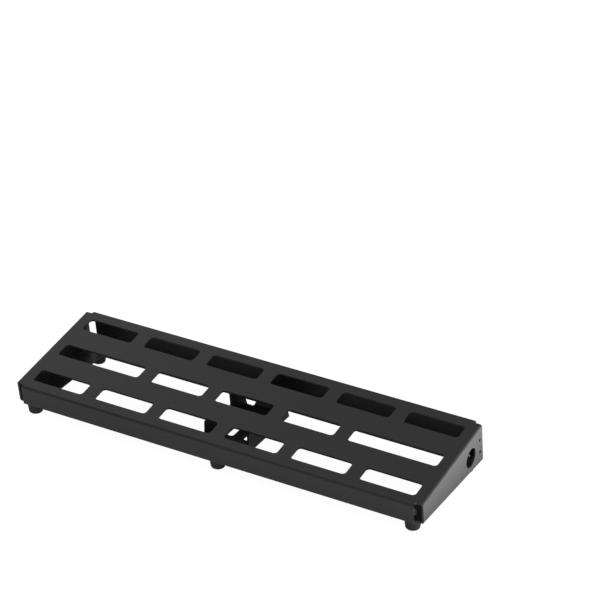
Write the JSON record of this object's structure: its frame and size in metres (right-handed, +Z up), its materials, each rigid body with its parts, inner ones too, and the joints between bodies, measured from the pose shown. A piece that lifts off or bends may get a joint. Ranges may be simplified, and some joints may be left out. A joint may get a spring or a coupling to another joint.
{
  "type": "pedalboard",
  "caption": "Low wedge-shaped board folded from dark sheet steel, with a sloping slotted deck for effect pedals, a folded brace under its middle and rubber feet.",
  "frame": {"origin": "middle of the board's footprint, on the floor plane that the feet stand on", "axes": "+X to the board's right end as the player sees it, +Y from the low front edge to the high rear edge, +Z up"},
  "size_m": [0.47, 0.1468, 0.0583],
  "materials": {
    "sheet": "satin black powder coat with a fine grain",
    "rubber": "matte moulded rubber",
    "steel": "bright zinc plating"
  },
  "bodies": {
    "root": {"deck_shell": "sheet", "center_brace": "sheet", "foot_front_left": "rubber", "foot_front_center": "rubber", "foot_front_right": "rubber", "foot_rear_left": "rubber", "foot_rear_center": "rubber", "foot_rear_right": "rubber", "washer_front_left": "steel", "washer_front_center": "steel", "washer_front_right": "steel", "washer_rear_left": "steel", "washer_rear_center": "steel", "washer_rear_right": "steel", "screw_front_left": "steel", "screw_front_center": "steel", "screw_front_right": "steel", "screw_rear_left": "steel", "screw_rear_center": "steel", "screw_rear_right": "steel", "nut_front_left": "steel", "nut_front_center": "steel", "nut_front_right": "steel", "nut_rear_left": "steel", "nut_rear_center": "steel", "nut_rear_right": "steel"}
  },
  "joints": []
}
